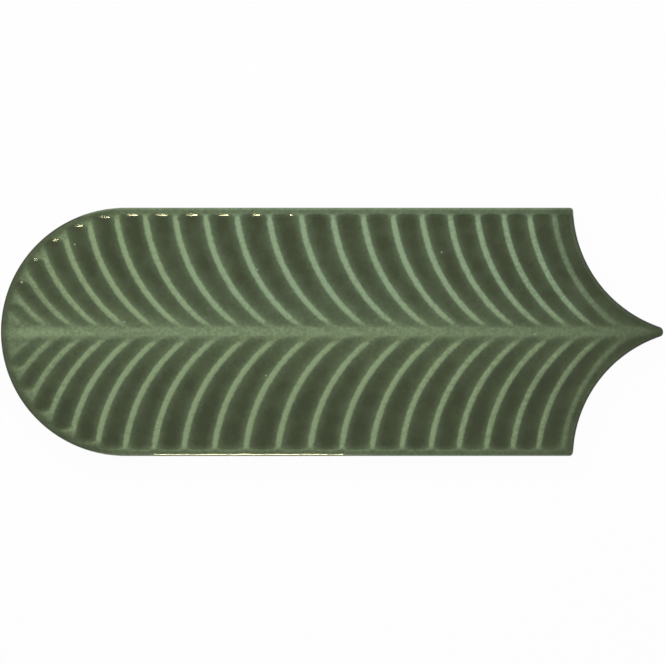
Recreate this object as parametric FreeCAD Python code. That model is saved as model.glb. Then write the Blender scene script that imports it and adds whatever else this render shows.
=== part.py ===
import FreeCAD, Part
import math
import os

# Pressed and glazed wall tile in the shape of a long fish scale. Its face is
# fluted like a feather: a narrow midrib runs down the middle, and curved ribs
# with hollow flutes between them sweep off it to both sides.
# Sizes are in millimetres. X runs from the round end to the point, Y across
# the tile, Z up out of the glazed face; the origin is the middle of the back.

# The tile as a whole
tile_length = 200.0
tile_width = 75.0
tile_thickness = 9.0

# The pointed end is hollowed so that the round ends of two tiles fit beside it
grout_joint = 1.0
point_width = 2.4
point_radius = 1.1
shoulder_radius = 1.6

# Edges
face_edge_radius = 0.8
back_edge_bevel = 0.5

# The flat borders of the fluted face
midrib_width = 2.4
rim_width = 1.75
hollow_rim_width = 1.3

# The ribs: one curve, repeated along the tile at a pitch that is widest midway
rib_count = 21
rib_radius = 48.8
rib_centre_offset = 40.4
rib_land_width = 1.1
middle_rib_x = 2.2
middle_pitch = 9.83
pitch_taper = 0.245
lower_side_shift = 2.7

# The flutes between the ribs, deepest towards the rim
flute_depth_at_midrib = 0.5
flute_depth_at_rim = 1.5
flute_wall_pull = 0.25
flute_end_radius = 8.0
flute_end_slope_run = 1.3
flute_steps = 5
cutter_overlap = 1.0

# Shallow keys pressed into the back, which hold the adhesive
key_width = 5.0
key_pitch = 10.0
key_depth = 0.6
key_border = 5.0

# Sizes that follow from those above
half_width = tile_width / 2
round_centre_x = half_width - tile_length / 2
nest_radius = half_width + grout_joint
nest_centre_y = half_width + grout_joint / 2
nest_rise = nest_centre_y - point_width / 2
nest_centre_x = tile_length / 2 + math.sqrt(nest_radius ** 2 - nest_rise ** 2)


def hollow_edge_x(distance):
    """X of the hollow edge at a distance from the centre line."""
    rise = nest_centre_y - distance
    return nest_centre_x - math.sqrt(nest_radius ** 2 - rise ** 2)


def edge_point(distance, side):
    """Point of the hollow edge on one side of the centre line, on the back."""
    return FreeCAD.Vector(hollow_edge_x(distance), side * distance, 0)


def outline_face():
    """Plan of the tile: half round, two straight sides, two hollows, a blunt point."""
    left_top = FreeCAD.Vector(round_centre_x, half_width, 0)
    left_end = FreeCAD.Vector(-tile_length / 2, 0, 0)
    left_bottom = FreeCAD.Vector(round_centre_x, -half_width, 0)
    middle = half_width / 2
    point = point_width / 2
    edges = [
        Part.Arc(left_top, left_end, left_bottom).toShape(),
        Part.makeLine(left_bottom, edge_point(half_width, -1)),
        Part.Arc(edge_point(half_width, -1), edge_point(middle, -1), edge_point(point, -1)).toShape(),
        Part.makeLine(edge_point(point, -1), edge_point(point, 1)),
        Part.Arc(edge_point(point, 1), edge_point(middle, 1), edge_point(half_width, 1)).toShape(),
        Part.makeLine(edge_point(half_width, 1), left_top),
    ]
    return Part.Face(Part.Wire(edges))


def upright_edges(solid, x, y):
    """The upright edges that stand at a plan position, on both sides of the tile."""
    found = []
    for edge in solid.Edges:
        start = edge.Vertexes[0].Point
        end = edge.Vertexes[-1].Point
        is_upright = abs(start.x - end.x) < 0.001 and abs(start.y - end.y) < 0.001
        if is_upright and abs(start.x - x) < 0.01 and abs(abs(start.y) - y) < 0.01:
            found.append(edge)
    return found


def edges_at_height(solid, height):
    """All edges that lie flat at one height."""
    found = []
    for edge in solid.Edges:
        if edge.BoundBox.ZLength < 0.001 and abs(edge.BoundBox.ZMin - height) < 0.001:
            found.append(edge)
    return found


def plain_tile():
    """The tile without flutes or keys: rounded shoulders, point and edges."""
    body = outline_face().extrude(FreeCAD.Vector(0, 0, tile_thickness))
    shoulders = upright_edges(body, hollow_edge_x(half_width), half_width)
    body = body.makeFillet(shoulder_radius, shoulders)
    point = upright_edges(body, tile_length / 2, point_width / 2)
    body = body.makeFillet(point_radius, point)
    body = body.makeFillet(face_edge_radius, edges_at_height(body, tile_thickness))
    return body.makeChamfer(back_edge_bevel, edges_at_height(body, 0))


def rib_start(number, side):
    """X at which the curve of a rib would cross the centre line."""
    places = number - rib_count // 2
    travel = middle_pitch * places - pitch_taper * places * abs(places) / 2
    shift = lower_side_shift if side < 0 else 0
    return middle_rib_x + shift + travel


def run_to_rib(distance):
    """Run along the tile from a rib's centre back to the rib."""
    return math.sqrt(rib_radius ** 2 - (distance - rib_centre_offset) ** 2)


def rib_x(number, side, distance):
    """X of a rib at a distance from the centre line; every rib is the same arc."""
    return rib_start(number, side) + run_to_rib(0) - run_to_rib(distance)


def flute_sides(number, side, distance):
    """Left and right X of a flute: from one rib to the next, or to the hollow edge."""
    land_along_tile = rib_land_width * rib_radius / run_to_rib(distance)
    left = rib_x(number - 1, side, distance) + land_along_tile / 2
    right = rib_x(number, side, distance) - land_along_tile / 2
    if number == rib_count:
        right = hollow_edge_x(distance) - hollow_rim_width
    return left, right


def room_to_edge(x, distance):
    """Distance of a point from the straight side or the round end."""
    if x > round_centre_x:
        return half_width - distance
    return half_width - math.hypot(x - round_centre_x, distance)


def flute_end_centre(number, side):
    """Point on the middle of a flute from which the arc of its end is struck."""
    room = rim_width + flute_end_radius
    near = midrib_width / 2
    far = half_width
    while far - near > 0.001:
        distance = (near + far) / 2
        x = sum(flute_sides(number, side, distance)) / 2
        if room_to_edge(x, distance) > room:
            near = distance
        else:
            far = distance
    return x, distance


def flute_depth(distance):
    """Depth of the flutes at a distance from the centre line: quickly deep, then level."""
    near = midrib_width / 2
    share = min(1, (distance - near) / (half_width - rim_width - flute_end_radius - near))
    gain = math.sin(share * math.pi / 2)
    return flute_depth_at_midrib + (flute_depth_at_rim - flute_depth_at_midrib) * gain


def flute_section(number, side, distance):
    """Section of a flute: two sloping walls that turn into a broad hollow floor."""
    left, right = flute_sides(number, side, distance)
    width = right - left
    y = side * distance
    low = tile_thickness - flute_depth(distance) * 4 / 3
    above = tile_thickness + cutter_overlap
    left_crest = FreeCAD.Vector(left, y, tile_thickness)
    right_crest = FreeCAD.Vector(right, y, tile_thickness)
    left_top = FreeCAD.Vector(left, y, above)
    right_top = FreeCAD.Vector(right, y, above)
    floor = Part.BezierCurve()
    pull_left = FreeCAD.Vector(left + flute_wall_pull * width, y, low)
    pull_right = FreeCAD.Vector(right - flute_wall_pull * width, y, low)
    floor.setPoles([left_crest, pull_left, pull_right, right_crest])
    edges = [
        floor.toShape(),
        Part.makeLine(right_crest, right_top),
        Part.makeLine(right_top, left_top),
        Part.makeLine(left_top, left_crest),
    ]
    return Part.Wire(edges)


def flute_end_stop(x, distance, side):
    """Block that ends a flute before the rim in an arc on plan with a sloping wall."""
    outward = math.degrees(math.atan2(distance, min(0, x - round_centre_x)))
    depth = flute_depth_at_rim + cutter_overlap
    reach = 4 * flute_end_radius
    bottom = tile_thickness - depth
    height = depth + 2 * cutter_overlap
    block = Part.makeBox(reach, 2 * reach, height, FreeCAD.Vector(0, -reach, bottom))
    slope = flute_end_slope_run / flute_depth_at_rim
    bottom_radius = flute_end_radius - slope * depth
    top_radius = bottom_radius + slope * height
    round_end = Part.makeCone(bottom_radius, top_radius, height, FreeCAD.Vector(0, 0, bottom))
    stop = block.cut(round_end)
    stop.rotate(FreeCAD.Vector(0, 0, 0), FreeCAD.Vector(0, 0, 1), side * outward)
    stop.translate(FreeCAD.Vector(x, side * distance, 0))
    return stop


def flute_cutter(number, side):
    """The hollow of one flute, from the midrib out to its rounded end."""
    x, distance = flute_end_centre(number, side)
    near = midrib_width / 2
    far = min(distance + rim_width + flute_end_radius, half_width)
    sections = []
    for step in range(flute_steps + 1):
        sections.append(flute_section(number, side, near + (far - near) * step / flute_steps))
    hollow = Part.makeLoft(sections, True, True)
    return hollow.cut(flute_end_stop(x, distance, side))


def back_keys():
    """Parallel grooves across the back, stopped short of the edges."""
    field = outline_face().makeOffset2D(-key_border).extrude(FreeCAD.Vector(0, 0, key_depth))
    count = 2 * int((tile_length / 2 - key_border) / key_pitch)
    first = -(count - 1) * key_pitch / 2
    grooves = []
    for number in range(count):
        corner = FreeCAD.Vector(first + number * key_pitch - key_width / 2, -half_width, 0)
        grooves.append(Part.makeBox(key_width, tile_width, key_depth, corner))
    return field.common(Part.makeCompound(grooves))


cutters = []
for side in (1, -1):
    for number in range(rib_count + 1):
        cutters.append(flute_cutter(number, side))

tile = plain_tile().cut(cutters)
tile = tile.cut(back_keys()).removeSplitter()
if len(tile.Solids) == 1:
    tile = tile.Solids[0]

os.makedirs("parts", exist_ok=True)
tile.exportStep("parts/tile.step")
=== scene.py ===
import math

import bpy
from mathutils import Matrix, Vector


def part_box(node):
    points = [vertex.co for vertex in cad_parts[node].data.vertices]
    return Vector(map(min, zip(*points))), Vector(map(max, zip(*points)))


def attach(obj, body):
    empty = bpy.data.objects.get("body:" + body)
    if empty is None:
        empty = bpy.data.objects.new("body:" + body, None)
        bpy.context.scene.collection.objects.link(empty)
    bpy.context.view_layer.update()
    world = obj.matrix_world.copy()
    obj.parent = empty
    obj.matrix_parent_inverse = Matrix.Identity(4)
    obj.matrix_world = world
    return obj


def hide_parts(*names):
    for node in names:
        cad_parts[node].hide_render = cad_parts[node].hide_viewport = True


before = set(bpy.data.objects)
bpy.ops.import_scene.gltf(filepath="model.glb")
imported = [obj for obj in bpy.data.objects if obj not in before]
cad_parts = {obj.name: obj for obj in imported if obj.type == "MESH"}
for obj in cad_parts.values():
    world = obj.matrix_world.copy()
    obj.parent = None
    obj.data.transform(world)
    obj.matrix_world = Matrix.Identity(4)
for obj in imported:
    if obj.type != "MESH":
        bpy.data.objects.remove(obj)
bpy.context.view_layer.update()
bpy.ops.object.select_all(action="DESELECT")


# The body. Clay powder is pressed between steel dies into one flat piece: half
# round at one end, and at the other hollowed on both sides, so that the round
# ends of two neighbours lie against it, with a blunt point between them.

mm = 0.001
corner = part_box("tile")[1]
half_length = corner.x
half_width = corner.y
thickness = corner.z
round_centre_x = half_width - half_length
joint = 1.0 * mm
point_half_width = 1.2 * mm
point_bevel = 1.045 * mm
shoulder_radius = 1.6 * mm
face_edge_radius = 1.0 * mm
nest_radius = half_width + joint
nest_centre_y = half_width + joint / 2
nest_centre_x = half_length + math.sqrt(nest_radius ** 2 - (nest_centre_y - point_half_width) ** 2)
post_height = 4 * thickness
post_sides = 360
round_end_steps = 96
corner_steps = 8
face_edge_steps = 6
sharp_edge = math.radians(30)
same_place = 0.01 * mm
hair = 0.001 * mm


def press(clay, die, operation):
    """Cuts a die out of the clay, or keeps what lies inside it."""
    boolean = clay.modifiers.new("press", "BOOLEAN")
    boolean.operation = operation
    boolean.object = die
    boolean.solver = "MANIFOLD"
    bpy.context.view_layer.objects.active = clay
    bpy.ops.object.modifier_apply(modifier=boolean.name)
    bpy.data.objects.remove(die)


def add_block(x_from, x_to, y_from, y_to, z_from, z_to):
    """A rectangular block between three pairs of planes."""
    middle = ((x_from + x_to) / 2, (y_from + y_to) / 2, (z_from + z_to) / 2)
    sides = (x_to - x_from, y_to - y_from, z_to - z_from)
    bpy.ops.mesh.primitive_cube_add(size=1, location=middle, scale=sides)
    bpy.ops.object.transform_apply(location=True, rotation=True, scale=True)
    return bpy.context.object


def add_nest(side, radius):
    """The post that hollows one side, where a neighbour's round end will lie."""
    centre = (nest_centre_x, side * nest_centre_y, 0)
    bpy.ops.mesh.primitive_cylinder_add(
        vertices=post_sides, radius=radius, depth=post_height, location=centre
    )
    bpy.ops.object.transform_apply(location=True, rotation=True, scale=True)
    return bpy.context.object


def round_edges(piece, wanted, radius, segments):
    """Rounds the sharp edges of a piece whose two ends lie where they are wanted."""
    bpy.context.view_layer.objects.active = piece
    bpy.ops.object.mode_set(mode="EDIT")
    bpy.ops.mesh.select_mode(type="EDGE")
    bpy.ops.mesh.select_all(action="DESELECT")
    bpy.ops.mesh.edges_select_sharp(sharpness=sharp_edge)
    bpy.ops.object.mode_set(mode="OBJECT")
    chosen = []
    for edge in piece.data.edges:
        start, end = (piece.data.vertices[v].co for v in edge.vertices)
        if edge.select and wanted(start, end):
            chosen.append(edge.index)
    bpy.ops.object.mode_set(mode="EDIT")
    bpy.ops.mesh.select_all(action="DESELECT")
    bpy.ops.object.mode_set(mode="OBJECT")
    for index in chosen:
        piece.data.edges[index].select = True
    bpy.ops.object.mode_set(mode="EDIT")
    bpy.ops.mesh.bevel(offset=radius, segments=segments)
    bpy.ops.mesh.select_all(action="SELECT")
    bpy.ops.mesh.remove_doubles(threshold=hair)
    bpy.ops.mesh.quads_convert_to_tris()
    bpy.ops.object.mode_set(mode="OBJECT")


def is_upright(start, end):
    return (start - end).xy.length < same_place


def is_round_end(start, end):
    return is_upright(start, end) and start.x < 0


def is_shoulder(start, end):
    return is_upright(start, end) and start.x > 0 and abs(abs(start.y) - half_width) < same_place


def is_point(start, end):
    return is_upright(start, end) and abs(start.x - half_length) < same_place


def is_on_face(start, end):
    return min(start.z, end.z) > thickness - same_place


tile = add_block(-half_length, half_length, -half_width, half_width, 0, thickness)
tile.name = "glazed_tile"
round_edges(tile, is_round_end, half_width, round_end_steps)
for side in (1, -1):
    press(tile, add_nest(side, nest_radius), "DIFFERENCE")
round_edges(tile, is_shoulder, shoulder_radius, corner_steps)
round_edges(tile, is_point, point_bevel, corner_steps)
round_edges(tile, is_on_face, face_edge_radius, face_edge_steps)


# The flutes. The upper die carries a row of long bent lobes on each side of the
# midrib. Each leaves a hollow flute, and what stays between two flutes is a rib;
# all ribs are one arc moved along the tile, and their pitch widens midway.

rib_count = 21
middle_rib = rib_count // 2
middle_rib_x = 2.2 * mm
middle_pitch = 9.83 * mm
pitch_taper = 0.245 * mm
lower_side_shift = 2.7 * mm
rib_radius = 48.8 * mm
rib_centre_offset = 40.4 * mm
rib_land = 1.1 * mm
midrib_half_width = 1.2 * mm
rim_width = 1.75 * mm
hollow_rim_width = 1.1 * mm
flute_depth_at_rim = 1.5 * mm
flute_depth_at_midrib = 0.55 * mm
flute_deepens_within = 9.0 * mm
full_depth_half_width = 2.4 * mm
flute_run_in = 0.6 * mm
flute_run_out = 1.6 * mm
flute_run_fullness = 1.5
flute_corner_length = 0.9 * mm
flute_corner_fullness = 2.5
flute_arch_height = 0.8 * mm
flute_arch_fullness = 2
lobe_lift = 0.5
lobe_steps = 32
lobe_sides = 32


def run_to_rib(distance):
    """From a rib's centre back to the rib along the tile, at a distance from the midline."""
    return math.sqrt(rib_radius ** 2 - (distance - rib_centre_offset) ** 2)


def rib_x(number, side, distance):
    """Where a rib lies along the tile, at a distance from the midline."""
    places = number - middle_rib
    start = middle_rib_x + middle_pitch * places - pitch_taper * places * abs(places) / 2
    shift = lower_side_shift if side < 0 else 0
    return start + shift + run_to_rib(0) - run_to_rib(distance)


def flute_span(number, side, distance):
    """Middle and half width of a flute along the tile, at a distance from the midline."""
    land_along_tile = rib_land * rib_radius / run_to_rib(distance)
    left = rib_x(number - 1, side, distance) + land_along_tile / 2
    right = rib_x(number, side, distance) - land_along_tile / 2
    if number == rib_count:
        rise = nest_centre_y - distance
        right = nest_centre_x - math.sqrt(nest_radius ** 2 - rise ** 2) - hollow_rim_width
    return (left + right) / 2, (right - left) / 2


def flute_depth(distance):
    """The flutes deepen from the midrib to the rim, ever more slowly."""
    share = 1 - math.exp((midrib_half_width - distance) / flute_deepens_within)
    return flute_depth_at_midrib + (flute_depth_at_rim - flute_depth_at_midrib) * share


def flute_end(number, side):
    """Distance from the midline at which a flute comes up against the rim."""
    near, far = midrib_half_width, half_width
    while far - near > hair:
        distance = (near + far) / 2
        x = flute_span(number, side, distance)[0]
        reach = math.hypot(min(0, x - round_centre_x), distance)
        if reach < half_width - rim_width:
            near = distance
        else:
            far = distance
    return near


def fullness(run, length, power):
    """How full a lobe is at some run from its end: it rises square-on and levels off."""
    share = min(1, run / length)
    return (1 - (1 - share) ** power) ** (1 / power)


def lobe_ring(number, side, distance, far):
    """Centre, half width and half height of a lobe's oval ring at a distance from the midline."""
    middle, half = flute_span(number, side, distance)
    run_in = distance - midrib_half_width
    run_out = far - distance
    wide_in = fullness(run_in, flute_corner_length, flute_corner_fullness)
    wide_out = fullness(run_out, flute_arch_height, flute_arch_fullness)
    deep_in = fullness(run_in, flute_run_in, flute_run_fullness)
    deep_out = fullness(run_out, flute_run_out, flute_run_fullness)
    depth = flute_depth(distance) * min(deep_in, deep_out) * min(1, half / full_depth_half_width)
    wide = half * min(wide_in, wide_out) / math.sqrt(1 - (lobe_lift / (1 + lobe_lift)) ** 2)
    centre = Vector((middle, side * distance, thickness + lobe_lift * depth))
    return centre, wide, (1 + lobe_lift) * depth


def add_lobe(number, side):
    """One lobe of the die: a flat oval drawn out along its flute, and rounded at both ends."""
    far = flute_end(number, side)
    distances = []
    for step in range(1, lobe_steps):
        share = (1 - math.cos(math.pi * step / lobe_steps)) / 2
        distances.append(midrib_half_width + (far - midrib_half_width) * share)
    centre, wide, high = lobe_ring(number, side, distances[0], far)
    bpy.ops.mesh.primitive_circle_add(
        vertices=lobe_sides, radius=1, fill_type="NGON", location=centre, rotation=(math.pi / 2, 0, 0)
    )
    bpy.ops.object.transform_apply(location=True, rotation=True, scale=True)
    bpy.ops.object.mode_set(mode="EDIT")
    bpy.ops.mesh.select_all(action="SELECT")
    bpy.ops.transform.resize(value=(wide, 1, high), center_override=centre)
    for distance in distances[1:]:
        next_centre, next_wide, next_high = lobe_ring(number, side, distance, far)
        bpy.ops.mesh.extrude_region_move(TRANSFORM_OT_translate={"value": next_centre - centre})
        bpy.ops.transform.resize(
            value=(next_wide / wide, 1, next_high / high), center_override=next_centre
        )
        centre, wide, high = next_centre, next_wide, next_high
    bpy.ops.mesh.select_all(action="SELECT")
    bpy.ops.mesh.normals_make_consistent(inside=False)
    bpy.ops.object.mode_set(mode="OBJECT")
    return bpy.context.object


lobes = []
for side in (1, -1):
    for number in range(rib_count + 1):
        lobes.append(add_lobe(number, side))
        bpy.ops.object.select_all(action="DESELECT")
for lobe in lobes:
    lobe.select_set(True)
bpy.context.view_layer.objects.active = lobes[0]
bpy.ops.object.join()
die = bpy.context.object

inner_length = half_length - rim_width
inner_width = half_width - rim_width
field_height = 2 * thickness
field = add_block(-inner_length, half_length, -inner_width, inner_width, 0, field_height)
round_edges(field, is_round_end, inner_width, round_end_steps)
press(die, field, "INTERSECT")
press(tile, die, "DIFFERENCE")


# The glaze. It is poured over the face and fired until it melts, so that it
# rounds every edge. It runs off the ribs, where the pale body shows through,
# and gathers in the flutes, where it is deep and dark.

skin_mesh_size = 0.48 * mm
remade_above = 6.0 * mm
joined_at = 6.7 * mm
side_ring = thickness / 2
back_edge_bevel = 0.5 * mm
softness = 0.5
melt_passes = 6
settle_passes = 24
levelling_passes = 6
rim_held_mm = 0.3
rim_release_mm = 0.9


def pick(piece):
    """Selects one piece alone, for the next operators to work on."""
    bpy.ops.object.select_all(action="DESELECT")
    piece.select_set(True)
    bpy.context.view_layer.objects.active = piece


def cut_off_below(piece, height, closed):
    """Cuts away all of a piece that lies below a height."""
    pick(piece)
    bpy.ops.object.mode_set(mode="EDIT")
    bpy.ops.mesh.select_all(action="SELECT")
    bpy.ops.mesh.bisect(
        plane_co=(0, 0, height), plane_no=(0, 0, 1), clear_inner=True, use_fill=closed, threshold=hair
    )
    bpy.ops.object.mode_set(mode="OBJECT")


def add_softening(piece, passes):
    """A modifier that softens the shape of a piece."""
    softening = piece.modifiers.new("softening", "SMOOTH")
    softening.factor = softness
    softening.iterations = passes
    return softening


def distance_from_edge(x, y):
    """How far a spot of the face lies inside the outline, and from the hollow edges alone."""
    to_side = half_width - abs(y)
    to_round_end = half_width - math.hypot(min(0, x - round_centre_x), y)
    to_nest = math.hypot(x - nest_centre_x, abs(y) - nest_centre_y) - nest_radius
    return min(to_side, to_round_end, to_nest), to_nest


cut_off_below(tile, remade_above, closed=True)
skin = tile.modifiers.new("skin", "REMESH")
skin.mode = "VOXEL"
skin.voxel_size = skin_mesh_size
skin.use_smooth_shade = True
bpy.ops.object.modifier_apply(modifier=skin.name)
melt = add_softening(tile, melt_passes)
bpy.ops.object.modifier_apply(modifier=melt.name)
cut_off_below(tile, joined_at, closed=False)

# A softer copy of the face tells how proud each spot stands. That, its depth and
# its distances from the edges are laid down on the face, all in millimetres.
settled = tile.copy()
settled.data = tile.data.copy()
bpy.context.scene.collection.objects.link(settled)
bpy.context.view_layer.objects.active = settled
settle = add_softening(settled, settle_passes)
bpy.ops.object.modifier_apply(modifier=settle.name)
flow = tile.vertex_groups.new(name="glaze_flows")
laid_down = {"proud": [], "sunk": [], "from_edge": [], "from_hollow": []}
for vertex, lower in zip(tile.data.vertices, settled.data.vertices):
    to_edge, to_hollow = distance_from_edge(vertex.co.x, vertex.co.y)
    laid_down["proud"].append((vertex.co - lower.co).dot(vertex.normal) / mm)
    laid_down["sunk"].append((thickness - vertex.co.z) / mm)
    laid_down["from_edge"].append(to_edge / mm)
    laid_down["from_hollow"].append(to_hollow / mm)
    freedom = (to_edge / mm - rim_held_mm) / rim_release_mm
    flow.add([vertex.index], min(1, max(0, freedom)), "REPLACE")
bpy.data.objects.remove(settled)
for name, values in laid_down.items():
    layer = tile.data.attributes.new(name, "FLOAT", "POINT")
    layer.data.foreach_set("value", values)

bpy.context.view_layer.objects.active = tile
level = add_softening(tile, levelling_passes)
level.use_x = False
level.use_y = False
level.vertex_group = flow.name
bpy.ops.object.modifier_apply(modifier=level.name)
tile.vertex_groups.clear()

bpy.ops.object.mode_set(mode="EDIT")
bpy.ops.mesh.select_mode(type="EDGE")
bpy.ops.mesh.select_all(action="DESELECT")
bpy.ops.mesh.select_non_manifold(extend=False)
bpy.ops.mesh.extrude_region_move(TRANSFORM_OT_translate={"value": (0, 0, side_ring - joined_at)})
bpy.ops.mesh.extrude_region_move(TRANSFORM_OT_translate={"value": (0, 0, back_edge_bevel - side_ring)})
bpy.ops.mesh.edge_face_add()
bpy.ops.mesh.inset(thickness=back_edge_bevel, depth=0)
bpy.ops.transform.translate(value=(0, 0, -back_edge_bevel))
bpy.ops.object.mode_set(mode="OBJECT")


def add_node(material, kind, **settings):
    node = material.node_tree.nodes.new(kind)
    for name, value in settings.items():
        setattr(node, name, value)
    return node


def feed(material, value, socket):
    """Sets a socket to a number or a colour, or links it to another node's output."""
    if isinstance(value, bpy.types.NodeSocket):
        material.node_tree.links.new(value, socket)
    else:
        socket.default_value = value


def combine(material, operation, first, *others):
    """Values put together one after another, such as by ADD, MULTIPLY or MAXIMUM."""
    result = first
    for other in others:
        node = add_node(material, "ShaderNodeMath", operation=operation)
        feed(material, result, node.inputs[0])
        feed(material, other, node.inputs[1])
        result = node.outputs["Value"]
    return result


def ramp(material, value, start, end, low, high):
    """Turns a value that runs from start to end into one that runs softly from low to high."""
    node = add_node(material, "ShaderNodeMapRange", interpolation_type="SMOOTHSTEP")
    feed(material, value, node.inputs["Value"])
    feed(material, start, node.inputs["From Min"])
    feed(material, end, node.inputs["From Max"])
    feed(material, low, node.inputs["To Min"])
    feed(material, high, node.inputs["To Max"])
    return node.outputs["Result"]


def blend(material, share, first, second):
    """A colour between two colours."""
    node = add_node(material, "ShaderNodeMix", data_type="RGBA")
    feed(material, share, node.inputs["Factor"])
    feed(material, first, node.inputs["A"])
    feed(material, second, node.inputs["B"])
    return node.outputs["Result"]


def read_layer(material, name):
    """What has been laid down on the piece under one name."""
    return add_node(material, "ShaderNodeAttribute", attribute_name=name).outputs["Fac"]


def add_noise(material, place, scale, detail, roughness):
    node = add_node(material, "ShaderNodeTexNoise")
    feed(material, place, node.inputs["Vector"])
    feed(material, scale, node.inputs["Scale"])
    feed(material, detail, node.inputs["Detail"])
    feed(material, roughness, node.inputs["Roughness"])
    return node.outputs["Fac"]


# The near-black colour is painted shade along the round end and the hollow edges, where the steep side
# wall falls into shade.
edge_shade_colour = (0.012, 0.015, 0.006, 1)
deep_glaze = (0.042, 0.057, 0.021, 1)
pale_glaze = (0.265, 0.362, 0.190, 1)
# The cooler, lighter pale colour is a painted reflection: a cool sheen on the upper half of the tile.
pale_glaze_in_cool_sheen = (0.280, 0.392, 0.226, 1)
pinhole_clay = (0.50, 0.56, 0.44, 1)
biscuit_clay = (0.62, 0.50, 0.36, 1)
coat_roughness = 0.045
specular_level = 0.1
peel_strength = 0.25
peel_depth = 0.05 * mm
midline_drift = 0.4 * mm

# Each change over the tile is a start, an end, and the strength at both.
crests_pale = (0.0, 0.155, 0, 0.66)
crests_by_midrib = (1.0 * mm, 4.5 * mm, 0.3, 1)
crests_by_hollows = (4.5, 11.0, 0.3, 1)
crests_by_round_rim = (2.2, 4.8, 0.3, 1)
crests_past_round_rim = (-72 * mm, -60 * mm, 0, 1)
crests_at_round_end = (-98 * mm, -68 * mm, 0.4, 1)
# The crests' fade towards the point and in the lower half is painted shade, where the light falls off.
crest_shade_towards_point = (20 * mm, 95 * mm, 1, 0.85)
lower_crest_shade_towards_point = (5 * mm, 75 * mm, 1, 0.82)
upper_half_free_of_crest_shade = (-20 * mm, 2 * mm, 0, 1)
skirts_pale = (0.0, 0.8, 0.13, 0)
shallows_pale = (0.3, 1.6, 0.27, 0)
shallows_towards_point = (10 * mm, 95 * mm, 1, 0.35)
rim_dark = (1.3, 3.0, 0.3, 1)
midrib_pale = (0.2 * mm, 2.5 * mm, 0.25, 0)
midrib_past_middle = (0 * mm, 40 * mm, 1, 0.78)
midrib_at_point = (78 * mm, 94 * mm, 1, 0.35)
midrib_at_round_end = (-90 * mm, -65 * mm, 1.6, 1)
midrib_by_rim = (2.0, 7.0, 0.3, 1)
straight_sides = (34.5 * mm, 36.5 * mm, 0, 1)
# The pale line along the straight sides is partly thin glaze over the rounded edge and partly a
# painted reflection.
side_edge_pale_and_reflection = (0.4, 0.9, 0.24, 0)
# The darkening of the outermost edge is painted shade.
outer_edge_shade = (0.0, 0.3, 0.1, 1)
# The band of the near-black colour across and up the edges is painted shade too.
edge_shade_across = (0.25, 0.65, 0.95, 0)
edge_shade_up = (7.8 * mm, 8.4 * mm, 0, 1)
# Where the painted cool sheen lies: the upper half, away from the round end.
cool_sheen_upper_half = (-4 * mm, 12 * mm, 0, 1)
cool_sheen_past_round_end = (-75 * mm, -20 * mm, 0, 1)
grain_strength = (0.3, 0.7, 0.76, 1.24)
mottle_strength = (0.3, 0.7, -0.04, 0.05)
pinhole_dot = (0.004, 0.009, 0.6, 0)
glaze_line_waver = (0.3, 0.7, -0.4 * mm, 0.4 * mm)
glaze_line = (1.5 * mm, 1.8 * mm, 0, 1)
roughness_under_coat = (0, 1, 0.85, 0.25)

# Each noise is a scale, a detail and a roughness.
grain_noise = (900, 3, 0.6)
mottle_noise = (160, 4, 0.6)
waver_noise = (60, 2, 0.5)
peel_noise = (420, 2, 0.5)
pinhole_scale = 26

finish = bpy.data.materials.new("olive_glaze")
finish.use_nodes = True
glass = finish.node_tree.nodes["Principled BSDF"]
place = add_node(finish, "ShaderNodeTexCoord").outputs["Object"]
proud = read_layer(finish, "proud")
sunk = read_layer(finish, "sunk")
from_edge = read_layer(finish, "from_edge")
from_hollow = read_layer(finish, "from_hollow")
split = add_node(finish, "ShaderNodeSeparateXYZ")
feed(finish, place, split.inputs["Vector"])
along = split.outputs["X"]
across = split.outputs["Y"]
height = split.outputs["Z"]
from_midline = combine(finish, "ABSOLUTE", combine(finish, "ADD", across, midline_drift), 0)

# Painted shade: the crests of the lower half darken towards the point, where less light falls.
lower_crest_shade = combine(
    finish,
    "MAXIMUM",
    ramp(finish, across, *upper_half_free_of_crest_shade),
    ramp(finish, along, *lower_crest_shade_towards_point),
)
round_rim_fade = combine(
    finish,
    "MAXIMUM",
    ramp(finish, along, *crests_past_round_rim),
    ramp(finish, from_edge, *crests_by_round_rim),
)
# The crests are pale where the glaze runs thin, dimmed by painted shade towards the point.
on_crests = combine(
    finish,
    "MULTIPLY",
    ramp(finish, proud, *crests_pale),
    ramp(finish, along, *crests_at_round_end),
    ramp(finish, from_midline, *crests_by_midrib),
    ramp(finish, along, *crest_shade_towards_point),
    ramp(finish, from_hollow, *crests_by_hollows),
    lower_crest_shade,
    round_rim_fade,
)
in_shallows = combine(
    finish,
    "MULTIPLY",
    ramp(finish, sunk, *shallows_pale),
    ramp(finish, along, *shallows_towards_point),
)
on_skirts = ramp(finish, sunk, *skirts_pale)
on_midrib = combine(
    finish,
    "MULTIPLY",
    ramp(finish, from_midline, *midrib_pale),
    ramp(finish, along, *midrib_past_middle),
    ramp(finish, along, *midrib_at_point),
    ramp(finish, along, *midrib_at_round_end),
    ramp(finish, from_edge, *midrib_by_rim),
)
beside_straight = ramp(finish, from_midline, *straight_sides)
# A pale line along the straight sides, partly thin glaze and partly a painted reflection.
on_side_edge = combine(finish, "MULTIPLY", ramp(finish, from_edge, *side_edge_pale_and_reflection), beside_straight)

# Paleness of the glaze where it runs thin, with painted shade and a painted reflection mixed in.
thin_glaze_and_painted_light = combine(finish, "ADD", in_shallows, on_skirts, on_crests)
thin_glaze_and_painted_light = combine(finish, "MULTIPLY", thin_glaze_and_painted_light, ramp(finish, from_edge, *rim_dark))
thin_glaze_and_painted_light = combine(finish, "ADD", thin_glaze_and_painted_light, on_midrib, on_side_edge)
grain = ramp(finish, add_noise(finish, place, *grain_noise), *grain_strength)
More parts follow.
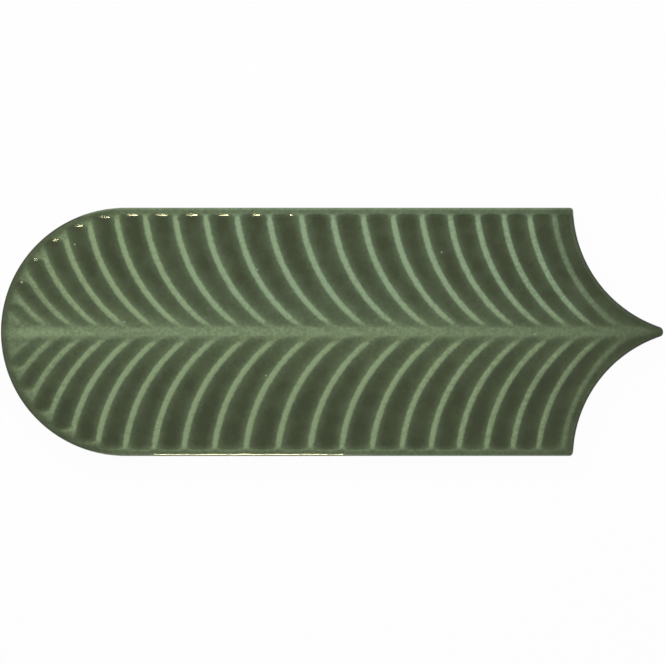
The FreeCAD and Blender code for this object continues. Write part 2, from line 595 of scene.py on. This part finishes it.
# Painted shade darkens the outermost edge.
thin_glaze_and_painted_light = combine(finish, "MULTIPLY", thin_glaze_and_painted_light, ramp(finish, from_edge, *outer_edge_shade), grain)
mottle = ramp(finish, add_noise(finish, place, *mottle_noise), *mottle_strength)
thin_glaze_and_painted_light = combine(finish, "ADD", thin_glaze_and_painted_light, mottle)

# A painted cool sheen on the upper half.
cool_sheen = combine(
    finish,
    "MULTIPLY",
    ramp(finish, across, *cool_sheen_upper_half),
    ramp(finish, along, *cool_sheen_past_round_end),
)
glaze_and_painted_light_colour = blend(finish, thin_glaze_and_painted_light, deep_glaze, blend(finish, cool_sheen, pale_glaze, pale_glaze_in_cool_sheen))
# Painted shade: a near-black band along the round end and the hollow edges, not on the straight sides.
edge_shade = combine(finish, "SUBTRACT", ramp(finish, from_edge, *edge_shade_across), beside_straight)
edge_shade = combine(finish, "MULTIPLY", edge_shade, ramp(finish, height, *edge_shade_up))
glaze_and_painted_light_colour = blend(finish, edge_shade, glaze_and_painted_light_colour, edge_shade_colour)
pinholes = add_node(finish, "ShaderNodeTexVoronoi", voronoi_dimensions="2D")
feed(finish, place, pinholes.inputs["Vector"])
feed(finish, pinhole_scale, pinholes.inputs["Scale"])
speck = ramp(finish, pinholes.outputs["Distance"], *pinhole_dot)
glaze_and_painted_light_colour = blend(finish, speck, glaze_and_painted_light_colour, pinhole_clay)

waver = ramp(finish, add_noise(finish, place, *waver_noise), *glaze_line_waver)
glazed = ramp(finish, combine(finish, "ADD", height, waver), *glaze_line)
feed(finish, blend(finish, glazed, biscuit_clay, glaze_and_painted_light_colour), glass.inputs["Base Color"])
feed(finish, ramp(finish, glazed, *roughness_under_coat), glass.inputs["Roughness"])
feed(finish, glazed, glass.inputs["Coat Weight"])
glass.inputs["Coat Roughness"].default_value = coat_roughness
glass.inputs["Specular IOR Level"].default_value = specular_level

peel = add_node(finish, "ShaderNodeBump")
peel.inputs["Strength"].default_value = peel_strength
peel.inputs["Distance"].default_value = peel_depth
feed(finish, add_noise(finish, place, *peel_noise), peel.inputs["Height"])
feed(finish, peel.outputs["Normal"], glass.inputs["Normal"])
tile.data.materials.clear()
tile.data.materials.append(finish)


# The back. It stays bare, and the lower die presses shallow keys into it, which
# the adhesive on the wall grips.

key_width = 5.0 * mm
key_pitch = 10.0 * mm
key_depth = 0.6 * mm
key_border = 5.0 * mm
key_end_steps = 48
soft_edge = math.radians(40)

keyed_length = half_length - key_border
keyed_width = half_width - key_border
keys = add_block(-keyed_length, half_length, -keyed_width, keyed_width, -key_depth, key_depth)
round_edges(keys, is_round_end, keyed_width, key_end_steps)
for side in (1, -1):
    press(keys, add_nest(side, nest_radius + key_border), "DIFFERENCE")
keys_each_way = int(keyed_length / key_pitch)
for number in range(-keys_each_way, keys_each_way + 1):
    left = number * key_pitch - (key_pitch - key_width) / 2
    right = number * key_pitch + (key_pitch - key_width) / 2
    land = add_block(left, right, -half_width, half_width, -thickness, thickness)
    press(keys, land, "DIFFERENCE")
press(tile, keys, "DIFFERENCE")
pick(tile)
bpy.ops.object.shade_smooth_by_angle(angle=soft_edge)

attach(tile, "root")
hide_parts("tile")


# The photographer's table: the tile lies on white paper, under a soft lamp. Two
# gridded strip lamps glint only on the slopes of the glaze that face them.

paper_size = 4
paper_colour = (0.8, 0.8, 0.8, 1)
paper_roughness = 0.9
paper_brightness = 0.97
room_colour = (1.0, 1.0, 0.98, 1)
room_strength = 0.4
white = (1.0, 1.0, 1.0)
warm = (1.0, 0.91, 0.52)
lens_length = 200
camera_place = (0.00014, -0.0002, 1.1137 + thickness)

bpy.ops.object.select_all(action="DESELECT")
bpy.ops.mesh.primitive_plane_add(size=paper_size)
floor = bpy.context.object
floor.name = "floor"
paper = bpy.data.materials.new("white_paper")
paper.use_nodes = True
paper_base = paper.node_tree.nodes["Principled BSDF"]
paper_base.inputs["Base Color"].default_value = paper_colour
paper_base.inputs["Roughness"].default_value = paper_roughness
glow = add_node(paper, "ShaderNodeEmission")
ray = add_node(paper, "ShaderNodeLightPath").outputs
seen_clear = combine(
    paper, "MAXIMUM", ray["Is Camera Ray"], ray["Is Glossy Ray"], ray["Is Transmission Ray"]
)
mix = add_node(paper, "ShaderNodeMixShader")
feed(paper, combine(paper, "MULTIPLY", seen_clear, paper_brightness), mix.inputs["Fac"])
feed(paper, paper_base.outputs["BSDF"], mix.inputs[1])
feed(paper, glow.outputs["Emission"], mix.inputs[2])
feed(paper, mix.outputs["Shader"], paper.node_tree.nodes["Material Output"].inputs["Surface"])
floor.data.materials.append(paper)

world = bpy.data.worlds.new("studio")
bpy.context.scene.world = world
world.use_nodes = True
world.node_tree.nodes["Background"].inputs["Color"].default_value = room_colour
world.node_tree.nodes["Background"].inputs["Strength"].default_value = room_strength


def add_lamp(name, place, aim, width, height, power, colour, spread):
    """A rectangular lamp that points at a spot of the tile."""
    light = bpy.data.lights.new(name, "AREA")
    light.shape = "RECTANGLE"
    light.size = width
    light.size_y = height
    light.energy = power
    light.color = colour
    light.spread = math.radians(spread)
    lamp = bpy.data.objects.new(name, light)
    bpy.context.scene.collection.objects.link(lamp)
    lamp.location = place
    lamp.rotation_euler = (Vector(aim) - Vector(place)).to_track_quat("-Z", "Y").to_euler()
    return lamp


softbox = add_lamp(
    "softbox",
    place=(-0.04, 0.15, 0.28),
    aim=(0, 0, 0),
    width=0.25,
    height=0.2,
    power=0.62,
    colour=white,
    spread=180,
)
far_strip = add_lamp(
    "far_strip",
    place=(-0.065, -0.045, 0.0268),
    aim=(-0.045, 0.036, 0.022),
    width=0.08,
    height=0.003,
    power=0.008,
    colour=warm,
    spread=44,
)
near_strip = add_lamp(
    "near_strip",
    place=(-0.028, -0.16, 0.08),
    aim=(-0.028, -0.037, 0.009),
    width=0.064,
    height=0.012,
    power=0.004,
    colour=warm,
    spread=18,
)
softbox.visible_glossy = False
for strip in (far_strip, near_strip):
    strip.visible_diffuse = False
    strip.visible_camera = False

camera_data = bpy.data.cameras.new("camera")
camera_data.lens = lens_length
camera = bpy.data.objects.new("camera", camera_data)
bpy.context.scene.collection.objects.link(camera)
camera.location = camera_place
bpy.context.scene.camera = camera
bpy.context.scene.view_settings.view_transform = "Standard"
